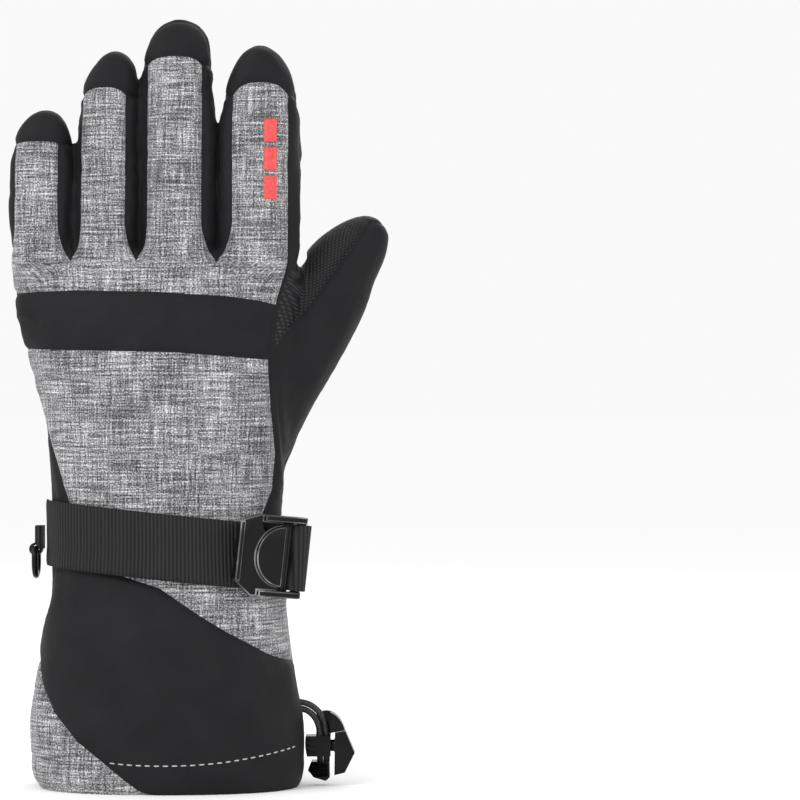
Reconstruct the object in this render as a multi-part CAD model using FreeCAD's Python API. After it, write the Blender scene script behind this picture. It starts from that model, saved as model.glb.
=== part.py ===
import FreeCAD, Part
import math
import os
from FreeCAD import Placement, Rotation, Vector

# Left-hand insulated ski glove with a gauntlet cuff, standing on its hem.
# +Z runs from the hem to the fingertips, -Y is the back of the hand, +Y the palm,
# and +X is the thumb side. Millimetres. The origin is under the middle of the glove,
# on the surface that the hem stands on.

# ---- layers of the sewn shell, from outside to inside
FABRIC = 1.3            # outer fabric
WADDING = 3.6           # insulation
FLEECE = 1.1            # lining
LAYER_1 = FABRIC
LAYER_2 = FABRIC + WADDING
LAYER_3 = FABRIC + WADDING + FLEECE
OVAL_POWER = 2.35       # superellipse exponent of every cross-section
OVAL_POINTS = 16        # interpolated points round a cross-section

# ---- hand and cuff: height, left edge, right edge, half depth, depth centre
HAND = [
    (0.0, -63.6, 39.4, 35.5, 0.0),
    (14.0, -64.3, 39.6, 35.5, 0.0),
    (42.0, -62.8, 37.2, 34.5, 0.0),
    (72.0, -58.2, 33.9, 31.0, 0.0),
    (97.0, -56.6, 32.6, 27.5, 0.0),
    (120.0, -57.4, 33.6, 26.5, 0.5),
    (134.0, -59.6, 36.6, 26.5, 1.0),
    (150.0, -62.5, 38.0, 25.5, 1.5),
    (176.0, -69.4, 38.4, 22.0, 1.5),
    (201.0, -72.4, 38.9, 16.5, 2.0),
]
HAND_TOP = 201.0
HAND_LEVELS = 12        # evenly spaced cross-sections of the loft
HEM_FOLD = 1.4          # closed fold at the bottom of the cuff
HEM_CORD_Z = 7.0        # the drawcord runs round inside the hem at this height
CUFF_TOP = 91.0         # the cuff is sewn to the hand under the wrist strap
PALM_CUFF_TOP = 97.0
SIDE_SEAM_Y = 4.0

# ---- fingers: centre, half width, tip height
KNUCKLE_Y = 2.0
KNUCKLE_Z = 208.0       # height of the line that the four fingers bend about
FINGER_DEPTH = 12.6     # half depth at the root
KNUCKLE_R = 13.2        # the rounded root of each finger
KNUCKLE_GAP = 0.6
FINGERS = {
    "little": (-60.8, 11.7, 260.0),
    "ring": (-36.1, 12.2, 283.4),
    "middle": (-8.6, 14.5, 295.6),
    "index": (22.8, 15.8, 285.6),
}
TIP_LENGTH = 20.0       # the domed end of a finger
FINGER_CURL = 0.0011    # forward bow of a finger, per mm
CAP_HEIGHT = {"little": 11.5, "ring": 13.0, "middle": 13.5, "index": 16.0}
BACK_STRIP = 0.78       # width of the heather strip over the back, of the half width
INSERT_STRIP = 0.66     # width of the grip insert on the palm side, of the half width
INSERT_BELOW_TIP = 23.0

# ---- thumb: distance along its axis, half width, half depth
THUMB_ROOT = Vector(27.4, 10.6, 156.8)
THUMB_TIP = Vector(69.9, 21.8, 216.2)
THUMB_R = 17.8          # the rounded root of the thumb
THUMB_GAP = 0.7
THUMB = [(-19.0, 16.6, 15.6), (0.0, 17.4, 16.0), (22.0, 17.4, 15.0), (41.0, 16.2, 13.6),
         (54.0, 13.9, 12.2), (63.0, 11.2, 10.2), (69.5, 7.6, 7.2), (73.4, 3.0, 3.0)]
THUMB_SWING = 32.0      # degrees that the thumb folds over the palm

# ---- wrist strap, buckle and clip ring
WEBBING_W = 25.0
WEBBING_T = 1.7
STRAP_Z = 93.6          # strap centre at x = -20
STRAP_SLOPE = 6.0       # degrees, falling towards the thumb
STRAP_GAP = 0.4
STRAP_END_X = 19.0      # under the buckle plate
BUCKLE_BAR = Vector(38.3, -18.2, 88.3)
BUCKLE_TURN = 30.0      # degrees that the buckle is turned round the wrist
BUCKLE_LEN = 27.0
BUCKLE_H = 31.0
BAR_R = 1.8
LOOP_R = 2.25
RING_TOP = Vector(-63.0, 0.0, 91.0)
RING_WIRE = 1.2
RING_HALF = 5.6

# ---- drawcord, cord lock and cord end
CORD_D = 2.4
STRAND_X = (46.2, 48.7)  # the two strands hang down side by side
STRAND_END = 5.0
STRANDS = [              # (x, z) of each strand's corners, from inside the side seam
    [(34.2, 29.8), (39.35, 29.7), (43.05, 27.7), (45.55, 24.1), (46.4, 18.2), (46.2, STRAND_END)],
    [(34.2, 32.3), (40.0, 32.2), (44.75, 29.65), (47.95, 25.1), (48.9, 18.2), (48.7, STRAND_END)],
]
EYELET_Z = (28.2, 33.9)  # where the strands come through the cuff
CORD_GAP = 0.35
LOCK_X, LOCK_Z = 48.6, 16.5     # middle of the oval body
LOCK_A, LOCK_B = 8.0, 12.0      # half width and half height of the oval
LOCK_FRONT, LOCK_BACK = -4.4, 4.6
LOCK_FOOT = 11.4
WINDOW_FOOT = 19.2
BUTTON_Z = 15.3
BUTTON_R = 2.6
BUTTON_FACE = 50.3       # the pressing block stands outside this plane
BUTTON_TRAVEL = 1.4
BORE_END = 41.6
END_TOP = 9.4


def oval(points_at):
    """Closed smooth wire through the points that points_at gives for each angle."""
    turn = 2 * math.pi / OVAL_POINTS
    curve = Part.BSplineCurve()
    curve.interpolate([points_at((i + 0.5) * turn) for i in range(OVAL_POINTS)], PeriodicFlag=True)
    return Part.Wire(curve.toShape())


def rounded(angle, half_a, half_b):
    """Point on a superellipse with those half widths."""
    c, s = math.cos(angle), math.sin(angle)
    k = 2 / OVAL_POWER
    return (half_a * math.copysign(abs(c) ** k, c), half_b * math.copysign(abs(s) ** k, s))


def level_oval(x, y, z, half_a, half_b):
    """Horizontal superellipse."""
    def at(angle):
        a, b = rounded(angle, half_a, half_b)
        return Vector(x + a, y + b, z)
    return oval(at)


def box(x0, x1, y0, y1, z0, z1):
    return Part.makeBox(x1 - x0, y1 - y0, z1 - z0, Vector(x0, y0, z0))


def prism(outline, y0, y1):
    """Solid between two depths, from an outline of (x, z) points."""
    face = Part.Face(Part.makePolygon([Vector(x, y0, z) for x, z in outline + outline[:1]]))
    return face.extrude(Vector(0, y1 - y0, 0))


def largest_part(shape, least_share=0.02):
    """The solids of a shape that aren't slivers, as one compound or solid."""
    whole = sum(s.Volume for s in shape.Solids)
    kept = [s for s in shape.Solids if s.Volume > least_share * whole]
    return kept[0] if len(kept) == 1 else Part.makeCompound(kept)


def split(shape, region):
    """The part of a shape inside the region, and the rest of it."""
    return largest_part(shape.common(region)), largest_part(shape.cut(region))


# ---------------------------------------------------------------- hand and cuff
def hand_section(z):
    """Left, right, half depth and depth centre at a height, between the rows of HAND."""
    for low, high in zip(HAND, HAND[1:]):
        if z <= high[0]:
            share = (z - low[0]) / (high[0] - low[0])
            return [p + (q - p) * share for p, q in zip(low[1:], high[1:])]
    return list(HAND[-1][1:])


def hand_form(inset, bottom=0.0, top=HAND_TOP, levels=HAND_LEVELS):
    """Closed form of the hand and cuff, taken in by inset, between two heights."""
    wires = []
    for i in range(levels + 1):
        z = bottom + (top - bottom) * i / levels
        left, right, depth, y = hand_section(z)
        wires.append(level_oval((left + right) / 2, y, z, (right - left) / 2 - inset, depth - inset))
    return Part.makeLoft(wires, True, False)


def knuckle_socket():
    """Room for the rounded finger roots, which turn about one line across the knuckles."""
    wide = 90.0
    return Part.makeCylinder(KNUCKLE_R + KNUCKLE_GAP, 2 * wide, Vector(-wide, KNUCKLE_Y, KNUCKLE_Z), Vector(1, 0, 0))


# ---------------------------------------------------------------- fingers
def finger_form(name, inset):
    """Closed form of one finger from below its root to its domed tip."""
    x, half, tip = FINGERS[name]
    start = tip - TIP_LENGTH
    wires = []
    for z in (KNUCKLE_Z - KNUCKLE_R - 3, KNUCKLE_Z + 4, (KNUCKLE_Z + start) / 2, start):
        bow = FINGER_CURL * max(0.0, z - KNUCKLE_Z) ** 2
        slim = 1 - 0.07 * max(0.0, z - KNUCKLE_Z) / (start - KNUCKLE_Z)
        wires.append(level_oval(x, KNUCKLE_Y + bow, z, half - inset, FINGER_DEPTH * slim - inset))
    for angle in (25, 45, 62, 76):
        z = start + (TIP_LENGTH - inset) * math.sin(math.radians(angle))
        shrink = math.cos(math.radians(angle)) ** 0.85
        bow = FINGER_CURL * (z - KNUCKLE_Z) ** 2
        wires.append(level_oval(x, KNUCKLE_Y + bow, z, (half - inset) * 0.93 * shrink,
                                (0.93 * FINGER_DEPTH - inset) * shrink))
    return Part.makeLoft(wires, True, True)


def finger_nodes(name):
    """Shell panels, insulation and lining of one finger."""
    x, half, tip = FINGERS[name]
    reach = half + 6
    root = Part.makeCylinder(KNUCKLE_R, 2 * reach, Vector(x - reach, KNUCKLE_Y, KNUCKLE_Z), Vector(1, 0, 0))
    keep = root.fuse(box(x - reach, x + reach, -60, 60, KNUCKLE_Z, tip + 10))
    forms = [finger_form(name, inset) for inset in (0.0, LAYER_1, LAYER_2, LAYER_3)]
    shell, wadding, fleece = [forms[i].cut(forms[i + 1]).common(keep) for i in range(3)]

    cap_z = tip - CAP_HEIGHT[name] - 8
    strip = BACK_STRIP * half
    insert = INSERT_STRIP * half
    arch = [(x + strip * math.cos(a), cap_z + 3 + 5 * math.sin(a)) for a in
            [math.pi * i / 6 for i in range(7)]]
    back_region = prism([(x - strip, 150), (x + strip, 150)] + arch, -60, KNUCKLE_Y)
    cap_region = box(x - reach, x + reach, -60, KNUCKLE_Y + 4, cap_z + 3, tip + 10)
    top_z = tip - INSERT_BELOW_TIP
    crown = [(x + insert * math.cos(a), top_z - 5 + 6 * math.sin(a)) for a in
             [math.pi * i / 6 for i in range(7)]]
    insert_region = prism([(x - insert, 150), (x + insert, 150)] + crown, KNUCKLE_Y, 60)

    back, rest = split(shell, back_region)
    cap, rest = split(rest, cap_region)
    grip, rest = split(rest, insert_region)
    seam = box(x - 0.05, x + 0.05, -60, 60, KNUCKLE_Z - 20, tip + 10)
    return {
        name + "_back_panel": back,
        name + "_tip_cap": cap,
        name + "_grip_insert": grip,
        name + "_side_strips": largest_part(rest.cut(seam), 0.04),
        name + "_insulation": largest_part(wadding),
        name + "_lining": largest_part(fleece),
    }


def index_mark():
    """Plain accent mark on the back of the index finger: three short bars, standing on the fabric."""
    x = FINGERS["index"][0]
    outer = finger_form("index", -0.6)
    inner = finger_form("index", 0.0)
    bars = [box(x + 2.2, x + 7.0, -60, KNUCKLE_Y, z, z + 9.0) for z in (225.0, 236.0, 247.0)]
    return outer.cut(inner).common(Part.makeCompound(bars))


# ---------------------------------------------------------------- thumb
THUMB_AXIS = (THUMB_TIP - THUMB_ROOT).normalize()
THUMB_ACROSS = Vector(THUMB_AXIS.z, 0, -THUMB_AXIS.x).normalize()
THUMB_FRONT = THUMB_AXIS.cross(THUMB_ACROSS) * -1
THUMB_FACE = (THUMB_ACROSS * -0.62 + THUMB_FRONT * 0.78).normalize()
THUMB_HINGE = THUMB_AXIS.cross(Vector(-0.5, 0.86, 0)).normalize()


def thumb_form(inset):
    """Closed form of the thumb along its own axis."""
    wires = []
    for s, half_w, half_d in THUMB:
        end = inset * 0.9 if s > 60 else 0.0
        centre = THUMB_ROOT + THUMB_AXIS * (s - end)

        def at(angle, centre=centre, w=max(half_w - inset, 0.8), d=max(half_d - inset, 0.8)):
            a, b = rounded(angle, w, d)
            return centre + THUMB_ACROSS * a + THUMB_FRONT * b
        wires.append(oval(at))
    return Part.makeLoft(wires, True, True)


def half_space(point, normal, size=160.0):
    """Box on the side of a plane that its normal points to."""
    block = Part.makeBox(size, size, size, Vector(-size / 2, -size / 2, 0))
    block.Placement = Placement(point, Rotation(Vector(0, 0, 1), normal))
    return block


def thumb_nodes():
    """Grip panel, back panel, insulation and lining of the thumb."""
    keep = Part.makeSphere(THUMB_R, THUMB_ROOT).fuse(half_space(THUMB_ROOT, THUMB_AXIS))
    forms = [thumb_form(inset) for inset in (0.0, LAYER_1, LAYER_2, LAYER_3)]
    shell, wadding, fleece = [forms[i].cut(forms[i + 1]).common(keep) for i in range(3)]
    face, back = split(shell, half_space(THUMB_ROOT, THUMB_FACE))
    return {
        "thumb_grip_panel": face,
        "thumb_back_panel": back,
        "thumb_insulation": largest_part(wadding),
        "thumb_lining": largest_part(fleece),
    }


def thumb_clearance():
    """Room in the hand for the thumb root and for its swing over the palm."""
    room = Part.makeSphere(THUMB_R + THUMB_GAP, THUMB_ROOT)
    swings = 5
    for i in range(swings):
        cone = Part.makeCone(THUMB_R + THUMB_GAP, 16.8, 44.0, THUMB_ROOT, THUMB_AXIS)
        cone.rotate(THUMB_ROOT, THUMB_HINGE, THUMB_SWING * i / (swings - 1))
        room = room.fuse(cone)
    return room


# ---------------------------------------------------------------- hand panels
def hand_nodes():
    """Outer panels, elastic, insulation and lining of the hand and cuff."""
    socket, thumb_room = knuckle_socket(), thumb_clearance()
    outer, inner = hand_form(0.0), hand_form(LAYER_1, HEM_FOLD, HAND_TOP - LAYER_1)
    shell = outer.cut(inner).cut(box(-90, 90, -60, 60, -1, HEM_FOLD))
    eyelet = box(30, 44, -CORD_D / 2 - 0.3, CORD_D / 2 + 0.3, *EYELET_Z)
    shell = shell.cut(socket).cut(thumb_room).cut(eyelet)

    cuff, hand = split(shell, box(-90, 90, -60, SIDE_SEAM_Y, -1, CUFF_TOP).fuse(
        box(-90, 90, SIDE_SEAM_Y, 60, -1, PALM_CUFF_TOP)))
    index_side = prism([(31, 186), (29, 100), (27.5, 60), (90, 60), (90, 230), (31, 230)], -60, SIDE_SEAM_Y)
    little_side = prism([(-66.5, 167), (-49, 108), (-45, 60), (-90, 60), (-90, 167)], -60, SIDE_SEAM_Y)
    band_top = [(-90, 189.8), (-30, 189.8), (31, 184.4), (90, 184)]
    band_foot = [(-90, 167.8), (-20, 166.6), (31, 163.6), (90, 163)]
    yoke_region = prism(band_top + [(90, 230), (-90, 230)], -60, SIDE_SEAM_Y)
    band_region = prism(band_foot + band_top[::-1], -60, SIDE_SEAM_Y)
    index_panel, hand = split(hand, index_side)
    little_panel, hand = split(hand, little_side)
    yoke, hand = split(hand, yoke_region)
    band, hand = split(hand, band_region)
    back, palm = split(hand, box(-90, 90, -60, SIDE_SEAM_Y, 60, 230))

    cuff_palm, cuff = split(cuff, box(-90, 90, SIDE_SEAM_Y, 60, -1, 120))
    swoosh_edge = [(-13.7, 77.5), (1.5, 67.4), (11.4, 61.3), (26.1, 53.5), (35.9, 48.5), (60, 42)]
    swoosh_foot = [(60, -5), (-20.5, -5), (-21, 0.9), (-34.8, 12.2), (-44.7, 19.6), (-54.4, 30.4),
                   (-59.3, 40.2), (-60.8, 47.0), (-90, 60), (-90, 100), (-13.7, 100)]
    swoosh, cuff = split(cuff, prism(swoosh_edge + swoosh_foot, -60, SIDE_SEAM_Y))
    upper, lower = split(cuff, box(-14, 90, -60, SIDE_SEAM_Y, 41, 120))

    wadding = inner.cut(hand_form(LAYER_2, HEM_FOLD, HAND_TOP - LAYER_2))
    wadding = wadding.cut(hem_cord(0.5)).cut(socket).cut(thumb_room)
    elastic = inner.cut(hand_form(LAYER_1 + 1.0, HEM_FOLD, HAND_TOP - LAYER_2))
    elastic = elastic.common(box(-90, 90, SIDE_SEAM_Y, 60, PALM_CUFF_TOP + 1, PALM_CUFF_TOP + 9))
    wadding = wadding.cut(elastic).cut(eyelet)
    fleece = hand_form(LAYER_2, HEM_FOLD, HAND_TOP - LAYER_2).cut(hand_form(LAYER_3, 0.0, HAND_TOP - LAYER_3))
    fleece = fleece.cut(box(-90, 90, -60, 60, -1, HEM_FOLD)).cut(hem_cord(0.3)).cut(socket).cut(thumb_room)
    hem = hand_form(0.0, 0.0, HEM_FOLD).cut(hand_form(LAYER_3, 0.0, HEM_FOLD))
    return {
        "finger_yoke_panel": yoke,
        "knuckle_band": band,
        "back_panel": back,
        "index_side_panel": index_panel,
        "little_side_panel": little_panel,
        "palm_panel": palm,
        "cuff_palm_panel": cuff_palm,
        "cuff_overlay_panel": swoosh,
        "cuff_upper_panel": upper,
        "cuff_lower_panel": lower,
        "hem_fold": hem,
        "wrist_elastic": largest_part(elastic),
        "hand_insulation": largest_part(wadding),
        "hand_lining": largest_part(fleece),
    }


def hem_cord(grow):
    """Ring of cord inside the hem, made larger all round by grow."""
    middle, half = LAYER_1 + WADDING / 2, CORD_D / 2 + grow
    low, high = HEM_CORD_Z - half, HEM_CORD_Z + half
    return hand_form(middle - half, low, high, 1).cut(hand_form(middle + half, low, high, 1))


# ---------------------------------------------------------------- wrist hardware
def strap_slab():
    """Slanted slab as high as the webbing, across the wrist."""
    slab = Part.makeBox(200, 140, WEBBING_W, Vector(-100, -70, -WEBBING_W / 2))
    slab.rotate(Vector(0, 0, 0), Vector(0, 1, 0), STRAP_SLOPE)
    slab.translate(Vector(-20, 0, STRAP_Z))
    return slab


def wrist_strap():
    """Webbing over the back of the wrist, from the little-finger seam to under the buckle."""
    band = hand_form(-STRAP_GAP - WEBBING_T, 60, 130).cut(hand_form(-STRAP_GAP, 59, 131))
    return largest_part(band.common(strap_slab()).common(box(-90, STRAP_END_X, -60, SIDE_SEAM_Y, 50, 140)))


def buckle_place(shape):
    """Moves a shape from the buckle's own frame to the wrist. There x runs away from the bar."""
    turn = Rotation(Vector(0, 0, 1), 180 + BUCKLE_TURN)
    tilt = Rotation(Vector(0, 1, 0), STRAP_SLOPE)
    shape.Placement = Placement(BUCKLE_BAR, tilt.multiply(turn))
    return shape


def buckle_frame():
    """Moulded frame: bar, two rails, cross bar with a half-moon flange, and a lifting plate."""
    half = BUCKLE_H / 2
    rail_in = WEBBING_W / 2 + 0.6
    outline = [(7.5, -half), (19.5, -half), (BUCKLE_LEN, -half + 5.5), (BUCKLE_LEN, half - 3.0),
               (18.0, half), (7.5, half)]
    plate = prism(outline, -1.2, 1.2)
    lip = box(BUCKLE_LEN - 2.0, BUCKLE_LEN, -1.2, 2.6, -half + 5.5, half - 3.0)
    rails = [box(-BAR_R, 17.0, -1.8, 3.4, low, low + half - rail_in) for low in (-half, rail_in)]
    nose = Part.makeCylinder(2.6, BUCKLE_H + 2, Vector(2.6 - BAR_R, 0.8, -half - 1))
    square_end = box(-6, 2.6 - BAR_R, -6, 8, -40, 40)
    rails = [rail.cut(square_end).fuse(rail.common(nose)) for rail in rails]
    bar = Part.makeCylinder(BAR_R, BUCKLE_H, Vector(0, 0, -half))
    flange = Part.makeCylinder(11.4, 1.8, Vector(7.6, 1.2, 0), Vector(0, 1, 0))
    flange = flange.common(box(7.6, 30, 0, 10, -20, 20))
    return buckle_place(plate.fuse([lip, bar, flange] + rails).removeSplitter())


def buckle_loop():
    """Webbing loop that holds the buckle's bar, sewn into the thumb-side seam."""
    outer = Part.makeCylinder(LOOP_R + WEBBING_T, WEBBING_W, Vector(0, 0, -WEBBING_W / 2))
    hole = Part.makeCylinder(LOOP_R, WEBBING_W + 2, Vector(0, 0, -WEBBING_W / 2 - 1))
    right = hand_section(BUCKLE_BAR.z)[1]
    seam = Vector(right + STRAP_GAP + WEBBING_T + 0.2, SIDE_SEAM_Y - 3, 0)
    bar = Vector(BUCKLE_BAR.x, BUCKLE_BAR.y, 0)
    run = seam - bar
    tail = Part.makeBox(run.Length, 2 * WEBBING_T, WEBBING_W, Vector(0, -WEBBING_T, -WEBBING_W / 2))
    tail.rotate(Vector(0, 0, 0), Vector(0, 0, 1), math.degrees(math.atan2(run.y, run.x)))
    loop = outer.fuse(tail).cut(hole)
    loop.Placement = Placement(BUCKLE_BAR, Rotation(Vector(0, 1, 0), STRAP_SLOPE))
    return loop.cut(hand_form(-STRAP_GAP, 59, 131))


def clip_ring():
    """D-shaped ring: a straight bar along Y and a bow that hangs below it."""
    ends = [RING_TOP + Vector(0, -RING_HALF, 0), RING_TOP + Vector(0, RING_HALF, 0)]
    knees = [end + Vector(0, 0, -4.6) for end in ends]
    low = RING_TOP + Vector(0, 0, -10.2)
    path = Part.Wire([Part.makeLine(RING_TOP, ends[1]), Part.makeLine(ends[1], knees[1]),
                      Part.Arc(knees[1], low, knees[0]).toShape(), Part.makeLine(knees[0], ends[0]),
                      Part.makeLine(ends[0], RING_TOP)])
    profile = Part.Wire(Part.makeCircle(RING_WIRE, RING_TOP, Vector(0, 1, 0)))
    return path.makePipeShell([profile], True, True, 1)


def ring_loop():
    """Small webbing loop on the strap that the ring hangs in."""
    wide = 7.0
    reach = RING_WIRE + 0.35
    centre = RING_TOP + Vector(0, -wide / 2, 0)
    ring = Part.makeCylinder(reach + 0.9, wide, centre, Vector(0, 1, 0))
    tab = box(RING_TOP.x - 0.2, RING_TOP.x + reach + 1.5, -wide / 2, wide / 2, RING_TOP.z, RING_TOP.z + 9)
    loop = ring.fuse(tab).cut(Part.makeCylinder(reach, wide + 2, centre - Vector(0, 1, 0), Vector(0, 1, 0)))
    return largest_part(loop.cut(hand_form(-STRAP_GAP - WEBBING_T - 0.05, 59, 131)))


# ---------------------------------------------------------------- drawcord hardware
def strand(points):
    """Tube along straight runs joined by tangent arcs, in the plane y = 0."""
    pts = [Vector(px, 0, pz) for px, pz in points]
    edges, here = [], pts[0]
    for before, corner, after in zip(pts, pts[1:], pts[2:]):
        back, on = (before - corner).normalize(), (after - corner).normalize()
        cut = 0.45 * min(before.distanceToPoint(corner), after.distanceToPoint(corner))
        start, end = corner + back * cut, corner + on * cut
        half_turn = (math.pi - back.getAngle(on)) / 2
        radius = cut / math.tan(half_turn)
        print("strand bend radius %.1f mm" % radius)
        middle = corner + (back + on).normalize() * (radius / math.cos(half_turn) - radius)
        edges += [Part.LineSegment(here, start).toShape(), Part.Arc(start, middle, end).toShape()]
        here = end
    edges.append(Part.LineSegment(here, pts[-1]).toShape())
    path = Part.Wire(edges)
    profile = Part.Wire(Part.makeCircle(CORD_D / 2, pts[0], pts[1] - pts[0]))
    tube = path.makePipeShell([profile], True, True)
    print("strand length %.1f, volume over section times length %.3f" % (
        path.Length, tube.Volume / (math.pi * CORD_D ** 2 / 4 * path.Length)))
    return tube


def strand_room(gap, extra_right=0.0):
    """Slot that both strands pass through."""
    reach = CORD_D / 2 + gap
    return box(STRAND_X[0] - reach, STRAND_X[1] + reach + extra_right, -reach, reach, -5, 40)


def oval_prism(a, b, y0, y1):
    """Upright oval block round the middle of the cord lock."""
    rim = Part.Ellipse(Vector(0, 0, 0), b, a).toShape()
    face = Part.Face(Part.Wire(rim))
    face.Placement = Placement(Vector(LOCK_X, y0, LOCK_Z), Rotation(Vector(0, 0, 1), Vector(1, 0, 0), Vector(0, 1, 0)))
    return face.extrude(Vector(0, y1 - y0, 0))


def cord_lock_body():
    """Oval body with a window in front of the strands, a bore for the button and grip grooves."""
    body = oval_prism(LOCK_A, LOCK_B, LOCK_FRONT, LOCK_BACK)
    notch = prism([(BUTTON_FACE, -5), (BUTTON_FACE, 20.4), (70, 24.2), (70, -5)], -20, 20)
    window = box(20, BUTTON_FACE, -20, CORD_D / 2 + CORD_GAP, WINDOW_FOOT, 60)
    corner = box(20, LOCK_X - 3.9, -20, 20, WINDOW_FOOT, 60)
    foot = box(20, 70, -20, 20, -5, LOCK_FOOT)
    bore = Part.makeCylinder(BUTTON_R + 0.25, 30, Vector(BORE_END, 0, BUTTON_Z), Vector(1, 0, 0))
    body = body.cut(notch).cut(window).cut(corner).cut(foot).cut(strand_room(CORD_GAP)).cut(bore)
    for z in (12.6, 14.6, 16.6):
        body = body.cut(prism([(38, z + 1.6), (44.3, z), (44.3, z + 0.7), (38, z + 2.4)], -9, LOCK_FRONT + 0.7))
    return body


def cord_lock_button():
    """Angular pressing block on a bored stem that squeezes the strands."""
    left = BUTTON_FACE + BUTTON_TRAVEL + 0.3
    outline = [(left, 20.2), (left + 4.1, 20.9), (left + 7.6, 12.7), (left + 3.8, 5.2), (left - 0.2, 4.2)]
    block = prism(outline, LOCK_FRONT + 0.2, LOCK_BACK - 0.2)
    left = STRAND_X[0] - CORD_D / 2 - 0.2
    stem = Part.makeCylinder(BUTTON_R, 54.0 - left + 0.9, Vector(left - 0.9, 0, BUTTON_Z), Vector(1, 0, 0))
    reach = CORD_D / 2 + CORD_GAP
    slot = box(left, STRAND_X[1] + reach + BUTTON_TRAVEL, -reach, reach, BUTTON_Z - 5, BUTTON_Z + 5)
    return block.fuse(stem.cut(slot)).removeSplitter()


def cord_lock_spring():
    """Coil spring behind the button, as a closed sleeve of rings."""
    left = BORE_END
    length = STRAND_X[0] - CORD_D / 2 - 1.1 - left
    rings = [Part.makeTorus(1.7, 0.3, Vector(left + 0.35 + i * (length - 0.7) / 2, 0, BUTTON_Z), Vector(1, 0, 0))
             for i in range(3)]
    sleeve = Part.makeCylinder(1.8, length - 0.1, Vector(left + 0.05, 0, BUTTON_Z), Vector(1, 0, 0))
    core = Part.makeCylinder(1.5, length + 2, Vector(left - 1, 0, BUTTON_Z), Vector(1, 0, 0))
    return sleeve.cut(core).fuse(rings)


def cord_end(strands):
    """Ribbed end piece that grips both strands."""
    middle = sum(STRAND_X) / 2
    outline = [(middle - 4.4, END_TOP), (middle + 2.4, END_TOP), (middle + 2.6, 3.4),
               (middle + 1.0, 2.0), (middle - 3.6, 3.4), (middle - 5.8, 6.0)]
    block = prism(outline, -4.0, 4.0)
    for z in (4.4, 6.4, 8.2):
        block = block.cut(prism([(30, z + 1.0), (middle + 1.4, z - 0.6), (middle + 1.4, z), (30, z + 1.7)], -9, -3.4))
    return block.cut(strands[0]).cut(strands[1])


def main():
    os.makedirs("parts", exist_ok=True)
    nodes = {}
    nodes.update(hand_nodes())
    for name in FINGERS:
        nodes.update(finger_nodes(name))
    nodes.update(thumb_nodes())
    nodes["index_accent_mark"] = index_mark()
    nodes["hem_drawcord"] = hem_cord(0.0)
    nodes["wrist_strap"] = wrist_strap()
    nodes["buckle_frame"] = buckle_frame()
    nodes["buckle_loop"] = buckle_loop()
    nodes["clip_ring"] = clip_ring()
    nodes["clip_ring_loop"] = ring_loop()
    strands = [strand(points) for points in STRANDS]
    nodes["drawcord_inner"], nodes["drawcord_outer"] = strands
    nodes["cord_lock_body"] = cord_lock_body()
    nodes["cord_lock_button"] = cord_lock_button()
    nodes["cord_lock_spring"] = cord_lock_spring()
    nodes["cord_end"] = cord_end(strands)
    for name, shape in nodes.items():
        if not shape.Solids or not shape.isValid():
            print("PROBLEM", name, "solids", len(shape.Solids), "valid", shape.isValid())
        shape.exportStep("parts/" + name + ".step")
    print(len(nodes), "nodes")


main()
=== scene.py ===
import math

import bpy
import numpy as np
from mathutils import Matrix, Vector, noise
from mathutils.bvhtree import BVHTree
from mathutils.kdtree import KDTree


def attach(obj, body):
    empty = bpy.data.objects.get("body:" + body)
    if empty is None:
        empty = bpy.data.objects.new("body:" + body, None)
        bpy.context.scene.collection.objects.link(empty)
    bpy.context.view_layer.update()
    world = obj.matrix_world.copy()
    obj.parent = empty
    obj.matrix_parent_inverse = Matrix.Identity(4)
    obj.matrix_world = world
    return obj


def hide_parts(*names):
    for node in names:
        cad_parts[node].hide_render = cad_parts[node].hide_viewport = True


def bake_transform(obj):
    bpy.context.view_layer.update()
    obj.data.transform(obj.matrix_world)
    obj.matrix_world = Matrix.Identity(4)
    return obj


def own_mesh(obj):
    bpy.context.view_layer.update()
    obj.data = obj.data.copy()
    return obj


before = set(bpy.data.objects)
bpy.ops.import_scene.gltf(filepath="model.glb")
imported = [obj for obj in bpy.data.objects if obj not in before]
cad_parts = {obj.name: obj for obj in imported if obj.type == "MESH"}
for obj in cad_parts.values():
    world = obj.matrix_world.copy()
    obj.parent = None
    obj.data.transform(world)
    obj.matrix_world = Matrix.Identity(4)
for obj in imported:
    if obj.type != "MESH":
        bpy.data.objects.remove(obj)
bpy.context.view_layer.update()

# Lengths in the tables are millimetres in the row frame: +Z to the fingertips, -Y the back of
# the hand, +X the thumb. MM turns them into metres.
MM = 0.001
VOXEL = 0.95            # the forms are joined at this fineness
CLOTH_POINTS = 11000    # vertices of the light copy that the cloth simulation moves
CLOTH_STEPS = 20
CLOTH_CAP = 1.7         # the most that the simulation moves the cloth
RIB_PITCH = 1.45        # of the webbing
PIN_REACH = 3.2         # the seams hold the cloth within this distance
EASE = 0.012            # spare cloth, which gathers into soft folds
OVAL_POWER = 2.35       # superellipse exponent of the cross-sections
SIDE_Y = 3.0            # side seams between the back of the hand and the palm
SPLIT_Z = 201.0         # below this the cloth follows the hand, above it the fingers

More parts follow.
